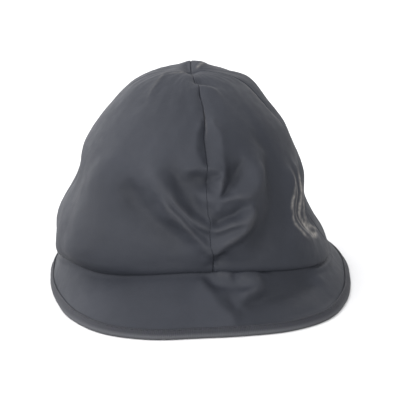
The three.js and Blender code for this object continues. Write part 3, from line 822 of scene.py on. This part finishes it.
def binding(finish):
    angles = np.linspace(180, 540, BINDING_COLUMNS, endpoint=False)
    section = binding_section()
    around = angles * BRIM_MM_PER_DEGREE
    # The tape's width and thickness vary a little round the hat.
    wide = 1 + 0.06 * crumple(around / 11.4, 0 * around, 21, 60)
    thick = 1 + 0.05 * crumple(around / 5.7, 0 * around + 0.5, 22, 120)
    along = np.where(section[:, 0] < 0, section[:, 0] * wide[:, None], section[:, 0])
    placed = beside_edge(angles, along, section[:, 1] * thick[:, None], 0)
    columns, rows = placed.shape[:2]
    numbers = np.arange(columns * rows).reshape(columns, rows)
    numbers = np.pad(numbers, ((0, 1), (0, 1)), mode="wrap")
    faces = squares(numbers)
    cut = np.stack([*np.meshgrid(around, lengths_along(section), indexing="ij"),
                    np.zeros((columns, rows))], axis=-1)
    # Painted highlight: the tape's rounded nose is painted paler, as where its edge catches the
    # light.
    highlight_mask = np.tile(0.12 * smoothstep(section[:, 0], -1.0, 1.4), columns)
    tape = mesh_object("binding_folded_tape", placed.reshape(-1, 3), faces.tolist(), [finish],
                       np.zeros(len(faces)), {"cut": cut.reshape(-1, 3), "painted_highlight": highlight_mask})
    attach(tape, "root")
    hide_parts("brim_binding")


STITCH_LENGTH = 2.5
STITCH_PITCH = 3.2
STITCH_THICK = 0.42
STITCH_INSET = 3.7
STITCH_PROUD = 0.06
STITCH_SINKS = 0.35
STITCH_FLATNESS = 0.8


def stitches(finish):
    """One row of lockstitches through the binding, seen on its upper and its lower side."""
    count = int(2 * math.pi / (STITCH_PITCH / STITCH_ARM))
    ring = np.radians(np.linspace(0, 360, 8, endpoint=False))
    shares = np.linspace(-1, 1, 7)
    sunk = STITCH_SINKS * np.abs(shares) ** 3
    thick = STITCH_THICK / 2 * np.sqrt(np.maximum(1 - shares**8 * 0.9, 0.05))[:, None]
    points, faces = [], []
    for middle in np.degrees(np.arange(count) * 2 * math.pi / count):
        angles = middle + shares * math.degrees(STITCH_LENGTH / 2 / STITCH_ARM)
        for side in (1, -1):
            level = side * (BINDING_FACE + STITCH_PROUD - sunk)[:, None]
            placed = beside_edge(angles, -STITCH_INSET + thick * np.cos(ring),
                                 level + side * thick * STITCH_FLATNESS * np.sin(ring), 0.02)
            start = len(points) * placed[..., 0].size
            numbers = np.arange(placed[..., 0].size).reshape(len(shares), len(ring)) + start
            closed = np.pad(numbers, ((0, 0), (0, 1)), mode="wrap")
            faces += squares(closed, flip=side < 0).tolist()
            faces += [cap.tolist()[::-side] for cap in (numbers[0], numbers[-1][::-1])]
            points.append(placed.reshape(-1, 3))
    thread = mesh_object("binding_stitches", np.concatenate(points), faces, [finish],
                         np.zeros(len(faces)), {})
    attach(thread, "root")


# Finishes

def linear(code):
    """An sRGB hex colour as the linear values that a shader takes."""
    channels = [int(code[k:k + 2], 16) / 255 for k in (1, 3, 5)]
    return (*(c / 12.92 if c <= 0.04045 else ((c + 0.055) / 1.055) ** 2.4 for c in channels), 1.0)


def add_node(tree, kind, settings=None, links=None):
    """Adds a node with its settings, which are properties or values of its inputs, and its links,
    which come from outputs or, where a node is named, from its first output."""
    node = tree.nodes.new("ShaderNode" + kind)
    for key, value in (settings or {}).items():
        if str(value).startswith("#"):
            value = linear(value)
        if isinstance(key, int) or key in node.inputs:
            node.inputs[key].default_value = value
        else:
            setattr(node, key, value)
    for key, source in (links or {}).items():
        start = source.outputs[0] if isinstance(source, bpy.types.Node) else source
        tree.links.new(start, node.inputs[key])
    return node


def finished(name, surface):
    """A material whose shader the function `surface` makes."""
    finish = bpy.data.materials.new(name)
    finish.use_nodes = True
    tree = finish.node_tree
    tree.nodes.clear()
    add_node(tree, "OutputMaterial", {}, {"Surface": surface(tree)})
    return finish


def coated_cloth(tree):
    """Polyurethane coated polyester: a knitted base with a dark grey-blue film cast on it. The film
    gives a soft gloss and a fine pebble grain. Its colour also holds painted highlights along hard
    creases and on crests, and painted shade in the hollows of its folds."""
    place = add_node(tree, "TexCoord").outputs["Object"]
    # The painted highlight and the painted shade, as kept at the points.
    painted_highlight, sunk = (add_node(tree, "Attribute", {"attribute_name": name}).outputs["Fac"]
                  for name in ("painted_highlight", "sunk"))
    mottle = add_node(tree, "TexNoise", {"Scale": 34.0, "Detail": 3.0, "Roughness": 0.55},
                      {"Vector": place})
    scuff = add_node(tree, "TexNoise", {"Scale": 210.0, "Detail": 4.0, "Roughness": 0.6},
                     {"Vector": place})
    colour = add_node(tree, "Mix", {"data_type": "RGBA", 6: "#1e2025", 7: "#24262c"}, {0: mottle})
    # Painted shade: the colour goes toward near black in the hollows of the folds.
    shade_painted = add_node(tree, "Mix", {"data_type": "RGBA", 7: "#08090b"},
                      {0: sunk, 6: colour.outputs[2]})
    # Painted highlight: paler colour on crests and along the highlight lines, made patchy by noise.
    highlight_patchiness = add_node(tree, "MapRange", {"From Min": 0.38, "From Max": 0.62, "To Min": 0.5,
                                         "To Max": 1.15}, {"Value": scuff})
    highlight_mask = add_node(tree, "Math", {"operation": "MULTIPLY", "use_clamp": True},
                      {0: painted_highlight, 1: highlight_patchiness})
    highlighted = add_node(tree, "Mix", {"data_type": "RGBA", 7: "#74716d"},
                     {0: highlight_mask, 6: shade_painted.outputs[2]})
    rough = add_node(tree, "MapRange", {"From Min": 0.3, "From Max": 0.7, "To Min": 0.62,
                                        "To Max": 0.7}, {"Value": scuff})
    # The real grain is about 0.3 mm across, drawn 0.9 mm here so that it shows at all.
    grain = add_node(tree, "TexVoronoi", {"Scale": 1100.0}, {"Vector": place})
    wave = add_node(tree, "TexNoise", {"Scale": 260.0, "Detail": 2.0}, {"Vector": place})
    uneven = add_node(tree, "Bump", {"Strength": 0.25, "Distance": 0.0004}, {"Height": wave})
    fine = add_node(tree, "Bump", {"Strength": 0.22, "Distance": 0.00012},
                    {"Height": grain, "Normal": uneven})
    return add_node(tree, "BsdfPrincipled",
                    {"IOR": 1.5, "Metallic": 0.0, "Specular IOR Level": 0.17},
                    {"Base Color": highlighted.outputs[2], "Roughness": rough, "Normal": fine})


def knitted_back(tree):
    """The same cloth's back: knitted polyester in dark grey, matt, with fine ribs along it."""
    cut = add_node(tree, "Attribute", {"attribute_name": "cut"}).outputs["Vector"]
    # Real ribs are 0.6 mm apart, drawn 1.2 mm apart here.
    ribs, loops = (add_node(tree, "TexWave", {"bands_direction": way, "Scale": scale,
                                              "Distortion": bend}, {"Vector": cut}).outputs["Fac"]
                   for way, scale, bend in (("X", 0.26, 0.4), ("Y", 0.32, 0.6)))
    knit = add_node(tree, "Math", {"operation": "MULTIPLY"}, {0: ribs, 1: loops})
    fluff = add_node(tree, "TexNoise", {"Scale": 0.35, "Detail": 4.0}, {"Vector": cut})
    colour = add_node(tree, "Mix", {"data_type": "RGBA", 6: "#33363c", 7: "#4b4f56"}, {0: knit})
    shade = add_node(tree, "Mix", {"data_type": "RGBA", "blend_type": "MULTIPLY", 0: 0.35},
                     {6: colour.outputs[2], 7: fluff.outputs["Color"]})
    bump = add_node(tree, "Bump", {"Strength": 0.5, "Distance": 0.0003}, {"Height": knit})
    return add_node(tree, "BsdfPrincipled", {"IOR": 1.45, "Roughness": 0.9, "Sheen Weight": 0.15},
                    {"Base Color": shade.outputs[2], "Normal": bump})


def woven_tape(tree):
    """Polyester binding tape, plain woven with ribs across it, a little warmer and more matt."""
    cut = add_node(tree, "Attribute", {"attribute_name": "cut"}).outputs["Vector"]
    # Real ribs are 0.5 mm apart, drawn 1.1 mm apart here.
    ribs = add_node(tree, "TexWave", {"bands_direction": "X", "Scale": 0.29, "Distortion": 0.5},
                    {"Vector": cut}).outputs["Fac"]
    lint = add_node(tree, "TexNoise", {"Scale": 0.5, "Detail": 4.0}, {"Vector": cut})
    colour = add_node(tree, "Mix", {"data_type": "RGBA", 6: "#202126", 7: "#26272c"}, {0: ribs})
    shade = add_node(tree, "Mix", {"data_type": "RGBA", "blend_type": "MULTIPLY", 0: 0.25},
                     {6: colour.outputs[2], 7: lint.outputs["Color"]})
    # Painted highlight on the tape's nose, from the binding's attribute.
    painted_highlight = add_node(tree, "Attribute", {"attribute_name": "painted_highlight"}).outputs["Fac"]
    highlighted = add_node(tree, "Mix", {"data_type": "RGBA", 7: "#8a8b8d"},
                     {0: painted_highlight, 6: shade.outputs[2]})
    bump = add_node(tree, "Bump", {"Strength": 0.4, "Distance": 0.0003}, {"Height": ribs})
    return add_node(tree, "BsdfPrincipled",
                    {"IOR": 1.5, "Roughness": 0.7, "Specular IOR Level": 0.2},
                    {"Base Color": highlighted.outputs[2], "Normal": bump})


def sewing_thread(tree):
    """Twisted polyester thread, dark, with the slight shine of its turns."""
    place = add_node(tree, "TexCoord").outputs["Object"]
    # One turn is 0.4 mm in real thread and 0.8 mm here.
    twist = add_node(tree, "TexWave", {"bands_direction": "DIAGONAL", "Scale": 390.0},
                     {"Vector": place}).outputs["Fac"]
    colour = add_node(tree, "Mix", {"data_type": "RGBA", 6: "#17181b", 7: "#232529"}, {0: twist})
    bump = add_node(tree, "Bump", {"Strength": 0.4, "Distance": 0.0001}, {"Height": twist})
    return add_node(tree, "BsdfPrincipled",
                    {"IOR": 1.5, "Roughness": 0.6, "Specular IOR Level": 0.2},
                    {"Base Color": colour.outputs[2], "Normal": bump})


def floor_paper(tree):
    """Smooth white paper, faintly uneven."""
    place = add_node(tree, "TexCoord").outputs["Object"]
    fibre = add_node(tree, "TexNoise", {"Scale": 8.0, "Detail": 3.0}, {"Vector": place})
    colour = add_node(tree, "Mix", {"data_type": "RGBA", 6: "#bbbbbb", 7: "#c1c1c1"}, {0: fibre})
    return add_node(tree, "BsdfPrincipled", {"Roughness": 0.9, "Specular IOR Level": 0.1},
                    {"Base Color": colour.outputs[2]})


def make_floor():
    size = 6.0
    mesh = bpy.data.meshes.new("studio_floor")
    mesh.from_pydata([(-size, -size, 0), (size, -size, 0), (size, size, 0), (-size, size, 0)], [],
                     [(0, 1, 2, 3)])
    mesh.materials.append(finished("white_paper_floor", floor_paper))
    new_object("studio_floor", mesh)


# Light and camera

CAMERA_TILT = 18.0
CAMERA_DISTANCE = 1100.0
VIEW_WIDTH = 277.2
AIM_HEIGHT = 54.7

# How bright the room is all round, how much brighter it is towards each side, and its lamps.
ROOM_LIGHT = 0.24
ROOM_SIDES = [((-1.0, 0.0, 0.0), 3.6), ((0.0, 1.0, 0.0), 0.6), ((0.0, 0.0, 1.0), 1.1)]
SOFT_LIGHTS = [
    {"name": "front_light", "place": (0.0, -2.25, 0.87), "size": 1.6, "power": 58.0},
    {"name": "rim_light", "place": (1.04, 1.8, 1.25), "size": 1.0, "power": 12.0},
]
LIGHTS_AIM = (0, 0, 0.07)


def add_camera():
    tilt = math.radians(CAMERA_TILT)
    target = Vector((AXIS_PLACE[0], AXIS_PLACE[1], AIM_HEIGHT)) * MM
    back = Vector((0, -math.cos(tilt), math.sin(tilt)))
    data = bpy.data.cameras.new("camera")
    data.sensor_width = 36.0
    data.lens = data.sensor_width * CAMERA_DISTANCE / VIEW_WIDTH
    data.clip_start, data.clip_end = 0.05, 30.0
    camera = new_object("camera", data)
    camera.location = target + back * CAMERA_DISTANCE * MM
    camera.rotation_euler = (-back).to_track_quat("-Z", "Y").to_euler()
    bpy.context.scene.camera = camera


def add_light(name, place, size, power):
    data = bpy.data.lights.new(name, "AREA")
    data.shape = "DISK"
    data.size = size
    data.energy = power
    light = new_object(name, data)
    light.location = place
    aim = Vector(LIGHTS_AIM) - Vector(place)
    light.rotation_euler = aim.to_track_quat("-Z", "Y").to_euler()


def add_studio_light():
    """A white room, brightest on the left, a soft light in front and one behind on the right."""
    world = bpy.data.worlds.new("white_studio")
    world.use_nodes = True
    tree = world.node_tree
    tree.nodes.clear()
    toward = add_node(tree, "TexCoord").outputs["Generated"]
    strength = None
    for side, light in ROOM_SIDES:
        facing = add_node(tree, "VectorMath", {"operation": "DOT_PRODUCT", 1: side}, {0: toward})
        share = add_node(tree, "MapRange", {"interpolation_type": "SMOOTHSTEP", "From Min": -0.2,
                                            "From Max": 0.9, "To Min": 0.0, "To Max": light},
                         {"Value": facing.outputs["Value"]})
        strength = add_node(tree, "Math", {"operation": "ADD", 1: ROOM_LIGHT},
                            {0: share, 1: strength} if strength else {0: share})
    background = add_node(tree, "Background", {"Color": "#fbfbfd"}, {"Strength": strength})
    add_node(tree, "OutputWorld", {}, {"Surface": background})
    bpy.context.scene.world = world
    for light in SOFT_LIGHTS:
        add_light(**light)
    bpy.context.scene.view_settings.view_transform = "Standard"


cloth = finished("polyurethane_coated_cloth", coated_cloth)
back = finished("knitted_polyester_back", knitted_back)
left, front, right, rear = (SEAM_ANGLES[k] for k in ("left", "front", "right", "back"))
crown_panel("crown_front_left", left, front, 1.0, [cloth, back])
crown_panel("crown_front_right", front, right, 1.0, [cloth, back])
crown_panel("crown_back_right", right, rear, 1.5, [cloth, back])
crown_panel("crown_back_left", rear, left + 360, 1.5, [cloth, back])
brim_half("brim_front", left, right, 1.0, [cloth, cloth])
brim_half("brim_back", right, left + 360, 1.4, [cloth, cloth])
binding(finished("woven_polyester_tape", woven_tape))
stitches(finished("polyester_thread", sewing_thread))
make_floor()
add_studio_light()
add_camera()
